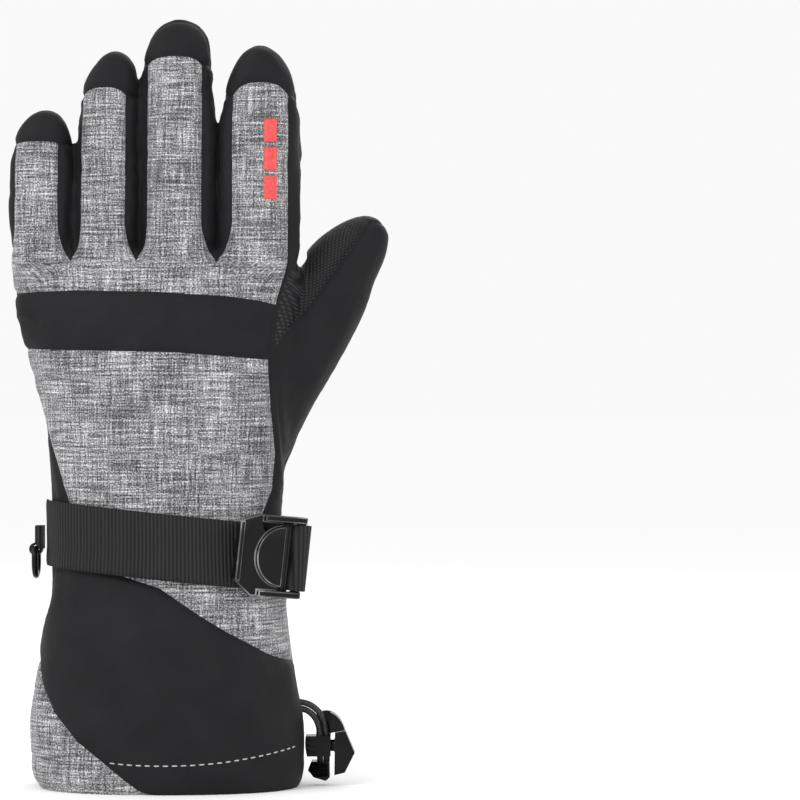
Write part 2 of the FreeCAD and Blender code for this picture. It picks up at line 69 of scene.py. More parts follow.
# height, left edge, right edge, half depth, depth centre
HAND = [
    (0.0, -60.6, 37.8, 34.2, 0.0), (3.0, -63.0, 39.2, 35.2, 0.0), (12.0, -64.3, 39.8, 35.6, 0.0),
    (24.0, -64.4, 39.8, 35.4, 0.0), (42.0, -62.6, 37.0, 34.4, 0.0), (60.0, -60.0, 34.6, 32.6, 0.0),
    (76.0, -57.6, 33.4, 30.0, 0.0), (92.0, -56.4, 32.2, 27.8, 0.0), (104.0, -56.6, 32.0, 26.8, 0.0),
    (120.0, -57.6, 33.0, 26.4, 0.4), (136.0, -59.6, 35.4, 26.2, 0.8), (152.0, -63.0, 36.4, 25.0, 1.2),
    (168.0, -67.4, 37.4, 23.2, 1.5), (182.0, -70.4, 38.2, 20.8, 1.8), (194.0, -72.0, 38.6, 17.6, 2.0),
    (201.0, -71.6, 38.2, 13.4, 2.0), (205.0, -69.0, 36.0, 8.0, 2.0),
]
FINGERS = {
    "little": [
        (180, -71.0, -49.6, 13.0), (200, -72.4, -49.5, 13.2), (215, -73.5, -49.3, 12.9), (232, -73.8, -49.1, 12.3),
        (243, -73.0, -49.2, 11.9), (250, -71.2, -50.2, 11.2), (255, -68.4, -52.0, 9.6), (258.2, -65.2, -54.4, 7.2),
        (260, -61.6, -57.8, 2.8)],
    "ring": [
        (180, -47.9, -24.5, 13.8), (200, -48.1, -24.5, 14.0), (225, -48.1, -24.3, 13.2), (253, -47.4, -24.2, 12.6),
        (264, -46.4, -24.1, 12.2), (272, -44.2, -24.4, 11.4), (278, -41.0, -25.6, 9.6), (281.6, -38.0, -28.2, 7.2),
        (283.5, -34.8, -32.0, 2.8)],
    "middle": [
        (180, -23.1, 5.4, 14.2), (200, -22.9, 5.6, 14.4), (230, -22.8, 5.9, 13.4), (255, -22.8, 5.9, 12.8),
        (272, -22.7, 5.0, 12.3), (283, -21.6, 3.8, 11.6), (289.6, -18.6, 2.2, 9.8), (293.6, -14.8, -1.4, 7.0),
        (295.5, -10.4, -6.2, 2.8)],
    "index": [
        (180, 7.5, 37.6, 14.2), (200, 7.4, 38.4, 14.4), (225, 7.3, 39.0, 13.6), (245, 7.5, 38.8, 13.0),
        (262, 8.6, 37.4, 12.6), (273, 10.8, 35.4, 11.6), (279.6, 13.8, 32.2, 9.8), (283.6, 17.2, 28.4, 7.2),
        (285.6, 20.8, 24.6, 2.8)],
}
KNUCKLE_Y = 2.0
CURL = 0.0011           # forward bow of the fingers
CROTCHES = [-49.0, -23.8, 6.7]      # between little, ring, middle and index finger
# heather strip on the back of each finger: left edge, right edge, height of the cap seam, its arch
STRIPS = {"little": (-71.6, -53.6, 247.6, 0.8), "ring": (-46.2, -27.6, 268.4, 3.0),
          "middle": (-20.9, 1.6, 280.6, 3.2), "index": (12.0, 34.8, 270.4, 5.0)}
# grip insert on the palm side of each finger: left edge, right edge, height of its arched end
INSERTS = {"little": (-69.6, -53.4, 234.0), "ring": (-45.0, -27.6, 258.0),
           "middle": (-19.4, 2.4, 270.0), "index": (11.2, 34.2, 260.0)}

THUMB_ROOT = np.array([27.4, 10.6, 156.8])
THUMB_TIP = np.array([69.9, 21.8, 216.2])
# distance along the thumb, centre across it, half width, half depth
THUMB = [(-42, 6.0, 16.6, 13.0), (-26, 5.4, 18.6, 15.0), (-8, 3.6, 18.0, 16.0), (8, 1.8, 17.4, 16.0),
         (24, 0.3, 16.8, 15.2), (40, -1.5, 16.0, 13.8), (52, -2.6, 14.4, 12.6), (61, -2.6, 12.0, 11.2),
         (68, -2.2, 9.0, 9.0), (72.4, -1.9, 5.8, 6.2), (74.6, -1.8, 2.4, 2.6)]

# seam heights across the back of the hand, as (x, z)
BAND_TOP = [(-74, 189.2), (-47.5, 190.2), (-18, 189.8), (11.4, 187.9), (24, 186.2), (34, 183.4)]
BAND_FOOT = [(-74, 167.8), (-37.7, 166.9), (-8.2, 166.3), (11.4, 164.8), (34, 163.2)]
INDEX_SIDE = [(95, 24.0), (105, 25.6), (114, 29.2), (128, 30.2), (145, 28.4), (163, 27.2), (175, 28.3),
              (187, 30.4), (196, 33.6), (201, 34.8), (250, 34.8)]           # (z, x) of the seam
LITTLE_SIDE = [(95, -45.5), (108, -49.4), (142, -61.0), (150, -63.6), (168, -80.0)]
OVERLAY_TOP = [(-60, 92), (-13.7, 77.5), (1.5, 67.4), (11.4, 61.3), (26.1, 53.5), (40, 46.8), (60, 40)]
OVERLAY_FOOT = [(-70, 62), (-60.8, 47.5), (-59.3, 40.2), (-54.4, 30.4), (-44.7, 19.6), (-34.8, 12.2),
                (-21.0, 0.9), (-12, -6)]
# thumb root seam on the palm side, (z, x), and the edge of the softshell strip, (x, z)
THUMB_SEAM = [(98, 3.4), (103, 3.7), (114.6, 4.9), (122.5, 3.3), (137, 1.5), (149.5, 0.9), (158, 1.2),
              (166.7, 3.9), (174, 8.9)]
THUMB_TOP = [(0, 160), (3.9, 168), (9, 174.5), (18, 178.3), (24, 181.5), (30.4, 189), (37.5, 199.5), (41, 205),
             (43, 300)]
# crease between the hand's edge and the thumb, (z, x)
THUMB_CREASE = [(97, 42), (118, 34), (130, 33), (150, 31.0), (165, 29.8), (176, 30.2), (187, 31.8), (196, 35.2),
                (203, 39.2), (207, 41.2)]
THUMB_STRIP = [(3.6, 100), (4.9, 114.6), (13.7, 127.4), (23.6, 141), (34.7, 153.2), (48.1, 168.0),
               (61.0, 184.0), (66.0, 194.0), (70.0, 206.0), (71.4, 216.0)]
PALM_FOOT_Z = 97.5
BUCKLE_BAR = (38.3, -18.2, 88.3)
VIEW_CENTRE = (77.0, 148.225)   # x and z in the middle of the picture
HALF_VIEW = 154.0               # half the width of what the camera sees
VIEW_DISTANCE = 1.30            # metres
STRAND_POINTS = {               # (x, z) of each drawcord strand's corners
    "drawcord_inner": [(34.2, 29.8), (39.35, 29.7), (43.05, 27.7), (45.55, 24.1), (46.4, 18.2), (46.2, 5.0)],
    "drawcord_outer": [(34.2, 32.3), (40.0, 32.2), (44.75, 29.65), (47.95, 25.1), (48.9, 18.2), (48.7, 5.0)],
}


# ------------------------------------------------------------------ camera first
def camera():
    """Looks square at the back of the hand."""
    data = bpy.data.cameras.new("camera")
    data.lens = data.sensor_width / 2 / (HALF_VIEW * MM) * VIEW_DISTANCE
    obj = bpy.data.objects.new("camera", data)
    bpy.context.collection.objects.link(obj)
    obj.location = (VIEW_CENTRE[0] * MM, -VIEW_DISTANCE, VIEW_CENTRE[1] * MM)
    obj.rotation_euler = (math.radians(90), 0, 0)
    bpy.context.scene.camera = obj


# ------------------------------------------------------------------ small helpers
def line_at(table, t):
    """Value of a table of (t, value) pairs at t, straight between its rows."""
    rows = sorted(table)
    return np.interp(t, [r[0] for r in rows], [r[1] for r in rows])


def smooth_rows(rows, step):
    """Rows of a loft table resampled about every step along their first column, on a smooth curve."""
    rows = np.array(rows, float)
    t = rows[:, 0]
    slopes = np.gradient(rows[:, 1:], t, axis=0)
    at = np.unique(np.concatenate([t, np.arange(t[0], t[-1], step)]))
    out = []
    for value in at:
        k = min(np.searchsorted(t, value, side="right") - 1, len(t) - 2)
        h = t[k + 1] - t[k]
        s = (value - t[k]) / h
        a, b = rows[k, 1:], rows[k + 1, 1:]
        m, n = slopes[k] * h, slopes[k + 1] * h
        p = (2 * s**3 - 3 * s**2 + 1) * a + (s**3 - 2 * s**2 + s) * m + (3 * s**2 - 2 * s**3) * b + (s**3 - s**2) * n
        out.append(np.concatenate([[value], p]))
    return np.array(out)


def oval(count, half_a, half_b, power=OVAL_POWER):
    angle = np.linspace(0, 2 * math.pi, count, endpoint=False)
    c, s = np.cos(angle), np.sin(angle)
    return np.stack([half_a * np.sign(c) * np.abs(c) ** (2 / power), half_b * np.sign(s) * np.abs(s) ** (2 / power)], 1)


def mesh_object(name, verts, faces, smooth=True):
    mesh = bpy.data.meshes.new(name)
    mesh.from_pydata([tuple(v) for v in verts], [], [tuple(f) for f in faces])
    mesh.validate()
    if smooth:
        mesh.polygons.foreach_set("use_smooth", [True] * len(mesh.polygons))
    mesh.update()
    obj = bpy.data.objects.new(name, mesh)
    bpy.context.collection.objects.link(obj)
    return obj


def tube_faces(rings, count, close_ends=True):
    faces = [(r * count + i, r * count + (i + 1) % count, (r + 1) * count + (i + 1) % count, (r + 1) * count + i)
             for r in range(rings - 1) for i in range(count)]
    if close_ends:
        faces.append(tuple(range(count))[::-1])
        faces.append(tuple((rings - 1) * count + i for i in range(count)))
    return faces


def fetched(items, field, width, kind=float):
    """A field of mesh elements, with a row for each element."""
    flat = np.empty(len(items) * width, kind)
    items.foreach_get(field, flat)
    return flat.reshape(-1, width)


def store_weave(mesh, rows):
    """Stores cloth coordinates, in millimetres, on a mesh's vertices."""
    weave = mesh.attributes.new("weave", "FLOAT_VECTOR", "POINT")
    weave.data.foreach_set("vector", np.asarray(rows).astype(np.float32).ravel())


def baked(obj):
    """obj with its modifiers applied to its mesh."""
    depsgraph = bpy.context.evaluated_depsgraph_get()
    mesh = bpy.data.meshes.new_from_object(obj.evaluated_get(depsgraph), depsgraph=depsgraph)
    obj.modifiers.clear()
    old, obj.data = obj.data, mesh
    bpy.data.meshes.remove(old)
    return obj


# ------------------------------------------------------------------ whole skin of the glove
def hand_ring(row, count, inset=0.0):
    z, left, right, depth, y = row
    ring = oval(count, (right - left) / 2 - inset, depth - inset)
    return np.column_stack([ring[:, 0] + (left + right) / 2, ring[:, 1] + y, np.full(count, z)])


def finger_ring(row, count):
    z, left, right, depth = row
    ring = oval(count, (right - left) / 2, depth, 2.4)
    bow = CURL * max(0.0, z - 208) ** 2
    return np.column_stack([ring[:, 0] + (left + right) / 2, ring[:, 1] + KNUCKLE_Y + bow, np.full(count, z)])


def thumb_frame():
    axis = THUMB_TIP - THUMB_ROOT
    axis = axis / np.linalg.norm(axis)
    across = np.array([axis[2], 0, -axis[0]])
    across = across / np.linalg.norm(across)
    front = np.cross(across, axis)
    return axis, across, front * np.sign(front[1])


THUMB_AXIS, THUMB_ACROSS, THUMB_FRONT = thumb_frame()


def thumb_ring(row, count):
    s, across, half_w, half_d = row
    ring = oval(count, half_w, half_d, 2.3)
    centre = THUMB_ROOT + THUMB_AXIS * s + THUMB_ACROSS * across
    return centre + ring[:, :1] * THUMB_ACROSS + ring[:, 1:] * THUMB_FRONT


def closed_form(name, rings):
    count = len(rings[0])
    return mesh_object(name, np.concatenate(rings), tube_faces(len(rings), count))


def neighbours(edges, values, total, degree):
    mean = np.zeros_like(values)
    np.add.at(mean, edges[:, 0], values[edges[:, 1]])
    np.add.at(mean, edges[:, 1], values[edges[:, 0]])
    return mean / degree[:, None]


def whole_skin():
    """Vertices, triangles and normals of the outside of the glove, in millimetres, and a light copy of it."""
    forms = [closed_form("form_hand", [hand_ring(r, 96) for r in smooth_rows(HAND, 4.0)])]
    for name, rows in FINGERS.items():
        forms.append(closed_form("form_" + name, [finger_ring(r, 48) for r in smooth_rows(rows, 3.0)]))
    forms.append(closed_form("form_thumb", [thumb_ring(r, 48) for r in smooth_rows(THUMB, 3.0)]))
    with bpy.context.temp_override(active_object=forms[0], object=forms[0], selected_objects=forms,
                                   selected_editable_objects=forms):
        bpy.ops.object.join()
    remesh = forms[0].modifiers.new("remesh", "REMESH")
    remesh.mode = "VOXEL"
    remesh.voxel_size = VOXEL
    obj = baked(forms[0])
    mesh = obj.data
    p = fetched(mesh.vertices, "co", 3)
    edges = fetched(mesh.edges, "vertices", 2, int)
    degree = np.bincount(edges.ravel(), minlength=len(p)).astype(float)
    knuckles = np.clip(1 - np.abs(p[:, 2] - 199) / 13, 0, 1)
    along = (p - THUMB_ROOT) @ THUMB_AXIS
    thumb = np.clip(1 - np.abs(along + 2) / 40, 0, 1) * (p[:, 0] > 2) * np.clip((196 - p[:, 2]) / 8, 0, 1)
    hem = np.clip((4 - p[:, 2]) / 4, 0, 1)
    weight = np.clip(np.maximum(knuckles * 1.6, thumb * 1.5), 0.0, 1.0)[:, None]
    for i in range(44):
        share = 0.5 * (weight if i >= 7 else np.maximum(weight, 1.0)) * (1 - hem[:, None])
        p = p + share * (neighbours(edges, p, len(p), degree) - p)
    mesh.vertices.foreach_set("co", p.ravel())
    mesh.update()
    mesh.calc_loop_triangles()
    triangles = fetched(mesh.loop_triangles, "vertices", 3, int)
    normals = fetched(mesh.vertex_normals, "vector", 3)
    light = obj.modifiers.new("light", "DECIMATE")
    light.ratio = CLOTH_POINTS / len(p)
    return p, triangles, normals, baked(obj)


# ------------------------------------------------------------------ cutting the skin into panels
def cut(part, inside):
    """Splits (values, triangles) where the function inside is zero. values has a row per vertex."""
    values, tris = part
    f = inside(values[:, :3])
    f = np.where(np.abs(f) < 0.04, 0.0, f)
    values = values.copy()
    side = np.sign(f)
    corner = side[tris]
    low, high = corner.min(1), corner.max(1)
    kept_in, kept_out = tris[(high > 0) & (low >= 0)], tris[high <= 0]
    mixed = tris[(high > 0) & (low < 0)]
    new_rows, index = [], {}

    def crossing(a, b):
        key = (min(a, b), max(a, b))
        if key not in index:
            share = f[key[0]] / (f[key[0]] - f[key[1]])
            row = values[key[0]] + share * (values[key[1]] - values[key[0]])
            index[key] = len(values) + len(new_rows)
            new_rows.append(row)
        return index[key]
    extra = {1: [], -1: []}
    for tri in mixed.tolist():
        signs = [int(side[v]) for v in tri]
        if 0 in signs:
            k = signs.index(0)
            a, b, c = tri[k], tri[(k + 1) % 3], tri[(k + 2) % 3]
            m = crossing(b, c)
            extra[signs[(k + 1) % 3]].append((a, b, m))
            extra[signs[(k + 2) % 3]].append((a, m, c))
            continue
        lone = 1 if signs.count(1) == 1 else -1
        k = signs.index(lone)
        a, b, c = tri[k], tri[(k + 1) % 3], tri[(k + 2) % 3]
        m, n = crossing(a, b), crossing(a, c)
        extra[lone].append((a, m, n))
        extra[-lone] += [(m, b, c), (m, c, n)]
    if new_rows:
        values = np.concatenate([values, np.array(new_rows)])
    results = []
    for base, more in ((kept_in, extra[1]), (kept_out, extra[-1])):
        faces = np.concatenate([base, np.array(more, int).reshape(-1, 3)]) if more else base
        used, faces = np.unique(faces, return_inverse=True)
        results.append((values[used], faces.reshape(-1, 3)))
    return results


def seamed(part, inside, groove=True):
    """As cut, and notes how far each vertex is from the new seam, in the last column."""
    values, tris = part
    if groove:
        values = values.copy()
        values[:, 6] = np.minimum(values[:, 6], np.abs(inside(values[:, :3])))
    done = cut((values, tris), inside)
    if groove:
        for half in done:
            near = np.abs(inside(half[0][:, :3])) < 0.045
            half[0][near, 6] = 0
    return done


# ---- each function is positive inside its panel
def above(table):
    return lambda p: p[:, 2] - line_at(table, p[:, 0])


def thumb_inside(p):
    """Positive on the thumb and the thumb's root."""
    x, y, z = p.T
    floor = z - PALM_FOOT_Z
    palm = np.minimum.reduce([x - line_at(THUMB_SEAM, z), line_at(THUMB_TOP, x) - z, y - 4.0, floor])
    return np.maximum(palm, np.minimum(x - line_at(THUMB_CREASE, z), floor))


def thumb_grip_inside(p):
    """Positive on the grip cloth of the thumb."""
    rel = p - THUMB_ROOT
    share = np.clip((rel @ THUMB_FRONT + 6) / 12, 0, 1)
    on_palm = (p[:, 2] - line_at(THUMB_STRIP, p[:, 0])) * 0.75
    on_back = -(rel @ THUMB_ACROSS + 4.5)
    return on_back * (1 - share) + on_palm * share


def inside_strip(name):
    left, right, top, arch = STRIPS[name]
    middle, half = (left + right) / 2, (right - left) / 2
    walls = [-75.2, *CROTCHES, 39.0]
    at = list(FINGERS).index(name)
    reach = left - walls[at] + 0.4, 0.0 if name == "index" else walls[at + 1] - right + 0.4

    def inside(p):
        across = (p[:, 0] - middle) / half
        roof = top - arch * np.clip(np.abs(across), 0, 1.3) ** 3 - p[:, 2]
        flare = np.clip((217 - p[:, 2]) / 16, 0, 1) ** 1.7
        sides = np.minimum(p[:, 0] - left + flare * reach[0], right + flare * reach[1] - p[:, 0])
        return np.minimum.reduce([roof, sides, SIDE_Y - 0.5 - p[:, 1]])
    return inside


def inside_cap(name):
    top, arch = STRIPS[name][2:]
    return lambda p: np.minimum(p[:, 2] - (top - arch), 6.0 - p[:, 1])


def inside_insert(name):
    left, right, top = INSERTS[name]
    middle, half = (left + right) / 2, (right - left) / 2

    def inside(p):
        across = (p[:, 0] - middle) / half
        roof = top - 5 * np.abs(across) ** 2.6 - p[:, 2]
        flare = np.clip((212 - p[:, 2]) / 11, 0, 1) ** 2 * 7
        return np.minimum.reduce([roof, p[:, 0] - left + flare, right + flare - p[:, 0], p[:, 1] - SIDE_Y - 0.5])
    return inside


def hem_opening(p):
    """Positive on the flat bottom that the hand goes in through."""
    oval_edge = 0.93 - np.abs((p[:, 0] + 11.4) / 49.2) ** OVAL_POWER - np.abs(p[:, 1] / 34.2) ** OVAL_POWER
    return np.minimum(2.6 - p[:, 2], oval_edge)


def panels():
    """Name of each panel, and its (values, triangles). The columns are position, normal and seam distance."""
    p, tris, normals, cloth = whole_skin()
    skin = (np.column_stack([p, normals, np.full(len(p), 50.0)]), tris)
    out = {}
    _, skin = cut(skin, hem_opening)
    thumb, skin = seamed(skin, thumb_inside)
    out["thumb_grip"], out["thumb_back"] = seamed(thumb, thumb_grip_inside)
    fingers, hand = cut(skin, lambda q: q[:, 2] - SPLIT_Z)
    rest = fingers
    for name, wall in zip(("little", "ring", "middle"), CROTCHES):
        own, rest = cut(rest, lambda q, wall=wall: wall - q[:, 0])
        out[name] = own
    out["index"] = rest
    for name in FINGERS:
        own = out.pop(name)
        out[name + "_back"], own = seamed(own, inside_strip(name))
        out[name + "_cap"], own = seamed(own, inside_cap(name))
        out[name + "_insert"], out[name + "_sides"] = seamed(own, inside_insert(name))

    back, palm = seamed(hand, lambda q: SIDE_Y - q[:, 1])
    cuff_line = [(-80, 93), (-20, 90), (60, 84)]
    back, cuff = seamed(back, above(cuff_line))
    out["index_side"], back = seamed(back, lambda q: q[:, 0] - line_at(INDEX_SIDE, q[:, 2]))
    out["little_side"], back = seamed(back, lambda q: line_at(LITTLE_SIDE, q[:, 2]) - q[:, 0])
    out["yoke"], back = seamed(back, above(BAND_TOP))
    out["knuckle_band"], out["back_panel"] = seamed(back, above(BAND_FOOT))
    out["cuff_upper"], cuff = seamed(cuff, above(OVERLAY_TOP))
    out["cuff_overlay"], out["cuff_lower"] = seamed(cuff, above(OVERLAY_FOOT))
    out["palm"], out["cuff_palm"] = seamed(palm, lambda q: q[:, 2] - PALM_FOOT_Z)
    return out, cloth


# ------------------------------------------------------------------ folds, puckers and padding
def field_noise(points, scale, seed):
    """Smooth noise between -1 and 1 at each point."""
    shift = Vector((seed * 17.3, seed * 5.1, seed * 9.7))
    return np.array([noise.noise(Vector(q) * scale + shift) for q in points])


def bump(x, centre, width):
    return np.exp(-((x - centre) / width) ** 2)


def relief(name, values):
    """How far each vertex moves out along its normal, in millimetres."""
    p, d = values[:, :3], values[:, 6]
    z = p[:, 2]
    hard = name.endswith(("_sides", "_cap"))
    out = 0.9 * (1 - np.exp(-d / 5.0)) - 0.75 * np.exp(-((d / 1.3) ** 2)) - 0.35
    out += 0.55 * field_noise(p, 1 / 26, 1) * np.clip(d / 4, 0, 1)
    pucker = field_noise(p, 1 / 4.2, 2)
    out += 0.35 * pucker * np.exp(-d / 3.2) * (0.5 if hard else 1.0) * np.clip(d / 0.8, 0, 1)
    palm_side = np.clip((p[:, 1] - SIDE_Y) / 8, 0, 1)
    finger = name.split("_")[0]
    if finger in FINGERS:
        tip = FINGERS[finger][-1][0]
        for share in (0.42, 0.70):
            crease = 205 + (tip - 205) * share + 1.5 * field_noise(p, 1 / 14, 5)
            out -= 1.25 * bump(z, crease, 1.9) * palm_side
            out += 0.55 * bump(z, crease + 4.6, 3.4) * palm_side + 0.55 * bump(z, crease - 4.6, 3.4) * palm_side
            out -= 0.28 * bump(z, crease, 2.2) * (1 - palm_side)
    if name == "palm":
        out -= 0.9 * bump(z, 199 + 0.02 * p[:, 0], 3.0)
        out -= 1.3 * bump(z, 172 - 0.12 * p[:, 0], 10) * bump(p[:, 0], -24, 30)
    if name in ("palm", "cuff_palm", "thumb_back"):
        fade = bump(z, 98.5, 5.5) + 0.75 * np.clip((98 - z) / 2, 0, 1) * np.exp(-np.maximum(0, 98 - z) / 16)
        ripple = np.sin(p[:, 0] * 2 * math.pi / 9.6 + 1.6 * field_noise(p * np.array([1, 0.2, 0.25]), 1 / 22, 7))
        out += 1.35 * ripple * fade * palm_side - 2.0 * bump(z, 99, 7) * palm_side
    if name == "cuff_palm":
        gathers = field_noise(p * np.array([1, 1, 0.16]), 1 / 6.5, 9)
        out += (0.5 + 1.5 * np.exp(-np.maximum(0, 96 - z) / 22)) * gathers * np.clip((97 - z) / 5, 0, 1) * palm_side
    if name == "back_panel":
        fold = field_noise(p * np.array([0.25, 0.25, 1.0]), 1 / 7, 11)
        out += 0.5 * fold * np.clip(d / 4, 0, 1)
    if name.startswith("thumb"):
        rel = p - THUMB_ROOT
        along = rel @ THUMB_AXIS
        front = np.clip((rel @ THUMB_FRONT) / 8, 0, 1)
        out -= 2.4 * bump(np.hypot(p[:, 0] - 18, (z - 163) / 2.4), 0, 4.5) * front
        out += 1.2 * bump(np.hypot(p[:, 0] - 10, (z - 158) / 2.2), 0, 6.0) * front
        out -= 0.6 * bump(along, 44 + 2 * field_noise(p, 1 / 12, 13), 2.0) * front
    return out


def girth(across, towards, half_a, half_b):
    """Length round an oval section from the middle of its back, or of its palm side, in millimetres."""
    angle = np.linspace(-2.4, 2.4, 400)
    power = 2 / OVAL_POWER
    wide, deep = 1.0, 0.65
    x = wide * np.sign(np.sin(angle)) * np.abs(np.sin(angle)) ** power
    y = deep * np.sign(np.cos(angle)) * np.abs(np.cos(angle)) ** power
    length = np.concatenate([[0], np.cumsum(np.hypot(np.diff(x), np.diff(y)))])
    length -= np.interp(0, angle, length)
    u, v = across / half_a, towards / half_b
    turn = np.arctan2(np.sign(u) * np.abs(u) ** (1 / power), np.sign(v) * np.abs(v) ** (1 / power))
    return np.interp(turn, angle, length) * half_a


def weave_coordinates(name, p):
    """Two lengths along the cloth, in millimetres: round the girth and along it."""
    z = p[:, 2]
    if name.startswith("thumb"):
        rel = p - THUMB_ROOT
        a, f, along = rel @ THUMB_ACROSS, rel @ THUMB_FRONT, rel @ THUMB_AXIS
        return np.arctan2(a, f if name == "thumb_grip" else -f) * 15.5, along
    palm_side = name.endswith(("palm", "_insert"))
    finger = name.split("_")[0]
    if finger in FINGERS:
        rows = FINGERS[finger]
        middle, half, depth = (rows[1][1] + rows[1][2]) / 2, (rows[1][2] - rows[1][1]) / 2, rows[1][3]
        y = KNUCKLE_Y + CURL * np.maximum(0, z - 208) ** 2
    else:
        rows = np.array(HAND)
        left, right, depth, y = [np.interp(z, rows[:, 0], rows[:, k]) for k in (1, 2, 3, 4)]
        middle, half = (left + right) / 2, (right - left) / 2
    towards = (p[:, 1] - y) * (1 if palm_side else -1)
    return middle + girth(p[:, 0] - middle, towards, half, depth), z


def inflated(cut_panels, cloth):
    """Gives the offset at any point of the skin, in millimetres, after air pressure swells the light copy of it
    between its pinned seams."""
    rest = np.array([v.co for v in cloth.data.vertices])
    values = np.concatenate([v for v, _ in cut_panels.values()])
    near = KDTree(len(values))
    for i, co in enumerate(values[:, :3]):
        near.insert(co, i)
    near.balance()
    seam = np.array([values[near.find(co)[1], 6] for co in rest])
    for v in cloth.data.vertices:
        v.co = v.co * MM
    pins = cloth.vertex_groups.new(name="pins")
    for i, distance in enumerate(seam):
        hold = 1.0 if rest[i, 2] < 6 else max(0.0, 1 - distance / PIN_REACH)
        pins.add([i], hold, "REPLACE")
    swell = cloth.modifiers.new("swell", "CLOTH")
    settings = swell.settings
    settings.quality = 6
    settings.mass = 0.2
    settings.tension_stiffness = settings.compression_stiffness = 12
    settings.shear_stiffness = 4
    settings.bending_stiffness = 0.6
    settings.use_pressure = True
    settings.uniform_pressure_force = 5
    settings.vertex_group_mass = "pins"
    settings.shrink_min = -EASE
    settings.effector_weights.gravity = 0
    swell.collision_settings.use_collision = False
    scene = bpy.context.scene
    for step in range(1, CLOTH_STEPS + 1):
        scene.frame_set(step)
    baked(cloth)
    scene.frame_set(1)
    shift = np.array([v.co for v in cloth.data.vertices]) / MM - rest
    size = np.linalg.norm(shift, axis=1, keepdims=True)
    print("cloth moved, mm: mean %.2f most %.2f" % (size.mean(), size.max()))
    shift *= np.minimum(1, CLOTH_CAP / np.maximum(size, 1e-6))
    edges = np.array([e.vertices for e in cloth.data.edges])
    degree = np.bincount(edges.ravel(), minlength=len(rest)).astype(float)
    for _ in range(3):
        shift += 0.5 * (neighbours(edges, shift, len(rest), degree) - shift)
    bpy.data.objects.remove(cloth)
    tree = KDTree(len(rest))
    for i, co in enumerate(rest):
        tree.insert(co, i)
    tree.balance()

    def offset(points):
        out = np.empty_like(points)
        for k, q in enumerate(points):
            found = tree.find_n(q, 5)
            weight = np.array([1 / (f[2] + 0.4) ** 2 for f in found])
            out[k] = weight @ shift[[f[1] for f in found]] / weight.sum()
        return out
    return offset


def seam_totals(panel_rows):
    """Sum of the rows of all border vertices at each place on the seams, and how many there are."""
    total, count = {}, {}
    for values, tris, rows in panel_rows:
        for i, key in border_keys(values, tris):
            total[key] = total.get(key, 0) + rows[i]
            count[key] = count.get(key, 0) + 1
    return total, count


def summed_normals(tris, moved):
    """Unscaled vertex normals, from the areas of the triangles round each vertex."""
    a, b, c = moved[tris[:, 0]], moved[tris[:, 1]], moved[tris[:, 2]]
    face = np.cross(b - a, c - a)
    normals = np.zeros_like(moved)
    for k in range(3):
        np.add.at(normals, tris[:, k], face)
    return normals


def skin_pieces(cut_panels, cloth):
    """One mesh object for each panel, with matching normals along the seams."""
    offset = inflated(cut_panels, cloth)
    shaped = {}
    for name, (values, tris) in cut_panels.items():
        moved = values[:, :3] + values[:, 3:6] * relief(name, values)[:, None] + offset(values[:, :3])
        shaped[name] = (values, tris, moved)
    # the relief differs from panel to panel, so border vertices take the mean of the panels they lie in
    total, count = seam_totals(shaped.values())
    for values, tris, moved in shaped.values():
        for i, key in border_keys(values, tris):
            moved[i] = total[key] / count[key]
    normals = {name: summed_normals(tris, moved) for name, (_, tris, moved) in shaped.items()}
    total, _ = seam_totals((values, tris, normals[name]) for name, (values, tris, _) in shaped.items())
    pieces = {}
    for name, (values, tris, moved) in shaped.items():
        n = normals[name]
        for i, key in border_keys(values, tris):
            n[i] = total[key]
        n /= np.maximum(np.linalg.norm(n, axis=1, keepdims=True), 1e-9)
        obj = mesh_object(name + "_cloth", moved * MM, tris.tolist())
        u, v = weave_coordinates(name, values[:, :3])
        store_weave(obj.data, np.column_stack([u, v, values[:, 6]]))
        if len(obj.data.vertices) == len(n):
            obj.data.normals_split_custom_set_from_vertices([tuple(q) for q in n])
        pieces[name] = obj
    return pieces


def border_keys(values, tris):
    """Number of each vertex on the open edge of a panel, and its rounded place on the skin."""
    edges = np.sort(np.concatenate([tris[:, [0, 1]], tris[:, [1, 2]], tris[:, [2, 0]]]), axis=1)
    edges, seen = np.unique(edges, axis=0, return_counts=True)
    border = np.unique(edges[seen == 1]).tolist()
    return [(i, tuple(np.round(values[i, :3], 3))) for i in border]


# ------------------------------------------------------------------ materials
def material(name):
    mat = bpy.data.materials.new(name)
    mat.use_nodes = True
    tree = mat.node_tree
    shader = tree.nodes["Principled BSDF"]
    return mat, tree, shader


def node(tree, kind, **settings):
    n = tree.nodes.new(kind)
    for key, value in settings.items():
        setattr(n, key, value)
    return n


def dress(tree, shader, fac, stops, roughness, **sockets):
    """Colours a shader from a ramp on fac, and sets its other sockets. Their names have _ for each space."""
    tree.links.new(ramp(tree, fac, stops), shader.inputs["Base Color"])
    shader.inputs["Roughness"].default_value = roughness
    for name, value in sockets.items():
        shader.inputs[name.replace("_", " ")].default_value = value


def weave_space(tree, scale, turn=0.0):
    """The cloth's own coordinates, scaled, in millimetres before scaling."""
    source = node(tree, "ShaderNodeAttribute", attribute_name="weave")
    split = node(tree, "ShaderNodeSeparateXYZ")
    merge = node(tree, "ShaderNodeCombineXYZ")
    tree.links.new(source.outputs["Vector"], split.inputs[0])
    tree.links.new(split.outputs[0], merge.inputs[0])
    tree.links.new(split.outputs[1], merge.inputs[1])
    mapping = node(tree, "ShaderNodeMapping")
    mapping.inputs["Scale"].default_value = scale
    mapping.inputs["Rotation"].default_value = (0, 0, turn)
    tree.links.new(merge.outputs[0], mapping.inputs["Vector"])
    return mapping.outputs[0]


